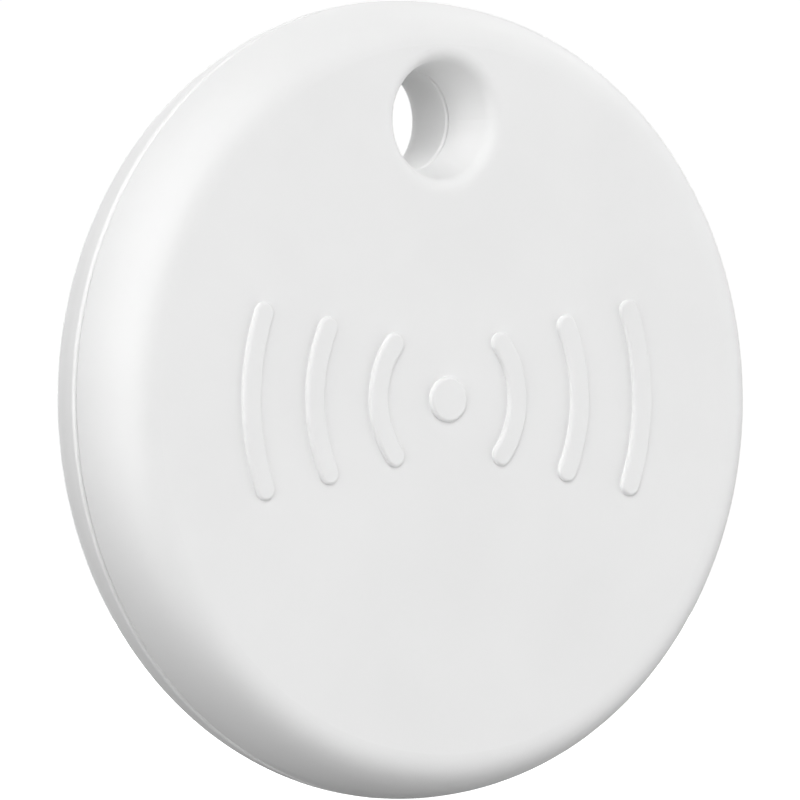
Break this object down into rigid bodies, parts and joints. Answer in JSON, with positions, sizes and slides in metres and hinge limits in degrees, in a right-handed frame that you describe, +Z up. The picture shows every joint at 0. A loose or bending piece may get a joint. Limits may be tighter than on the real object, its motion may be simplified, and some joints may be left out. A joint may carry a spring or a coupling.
{
  "type": "bluetooth tracker tag",
  "caption": "Round two-part tracker tag with a key-ring hole, a clicking front cover, a piezo buzzer and a replaceable coin cell.",
  "frame": {"origin": "centre of the key-ring hole, on the plane where the two covers meet", "axes": "+Z up, from the disc's centre to the key-ring hole; -Y out of the front face with the raised mark; +Y out of the rear face; +X to the viewer's right from the front"},
  "size_m": [0.0388, 0.0075, 0.0388],
  "materials": {
    "case_plastic": "satin",
    "seal_rubber": "matte",
    "board_laminate": "satin",
    "nickel_steel": "satin",
    "cell_polymer": "matte",
    "cell_cathode_mass": "matte",
    "lithium_foil": "satin",
    "buzzer_brass": "satin",
    "piezo_ceramic": "matte",
    "silver_film": "satin",
    "adhesive_tape": "matte",
    "holder_plastic": "satin",
    "spring_steel": "satin",
    "gold_plate": "polished",
    "chip_epoxy": "matte",
    "antenna_ceramic": "matte",
    "ferrite": "matte",
    "capacitor_ceramic": "satin",
    "switch_plastic": "satin"
  },
  "bodies": {
    "rear_case": {"rear_cover": "case_plastic", "circuit_board": "board_laminate", "battery_holder": "holder_plastic", "positive_contacts": "spring_steel", "negative_contact": "spring_steel", "switch_body": "holder_plastic", "switch_cover": "nickel_steel", "switch_dome": "spring_steel", "switch_legs": "spring_steel", "pin_barrels": "gold_plate", "pin_springs": "spring_steel", "radio_chip": "chip_epoxy", "main_crystal": "nickel_steel", "clock_crystal": "nickel_steel", "boost_inductor": "ferrite", "buzzer_driver": "chip_epoxy", "chip_antenna": "antenna_ceramic", "reservoir_capacitor": "capacitor_ceramic", "capacitors": "capacitor_ceramic", "resistors": "chip_epoxy", "test_pads": "gold_plate"},
    "cover_seals": {"seal_ring": "seal_rubber", "keyhole_seal": "seal_rubber"},
    "front_case": {"front_cover": "case_plastic", "buzzer_adhesive": "adhesive_tape", "buzzer_plate": "buzzer_brass", "buzzer_ceramic": "piezo_ceramic", "buzzer_electrode": "silver_film"},
    "battery": {"cell_can": "nickel_steel", "cell_cap": "nickel_steel", "cell_seal": "cell_polymer", "cell_anode": "lithium_foil", "cell_separator": "cell_polymer", "cell_cathode": "cell_cathode_mass"},
    "button": {"switch_plunger": "switch_plastic"},
    "contact_pins": {"pin_plungers": "gold_plate"}
  },
  "joints": [
    {"name": "cover_removal", "type": "slide", "parent": "rear_case", "child": "cover_seals", "axis": [0, -1, 0], "range_m": [0, 0.018]},
    {"name": "cover_press", "type": "slide", "parent": "cover_seals", "child": "front_case", "axis": [0, 1, 0], "range_m": [0, 0.00012], "stiffness_N_per_m": 10000, "deforming": ["seal_ring", "keyhole_seal"]},
    {"name": "battery_removal", "type": "slide", "parent": "rear_case", "child": "battery", "axis": [0, -1, 0], "range_m": [0, 0.012]},
    {"name": "button_travel", "type": "slide", "parent": "rear_case", "child": "button", "axis": [0, 1, 0], "range_m": [0, 0.00012], "deforming": ["switch_dome"]},
    {"name": "pin_travel", "type": "slide", "parent": "rear_case", "child": "contact_pins", "axis": [0, 1, 0], "range_m": [0, 0.00012], "deforming": ["pin_springs"]}
  ],
  "couplings": [
    {"joint": "cover_removal", "follows": "battery_removal", "ratio": 1.5},
    {"joint": "button_travel", "follows": "cover_press", "ratio": 1},
    {"joint": "pin_travel", "follows": "cover_press", "ratio": 1}
  ]
}
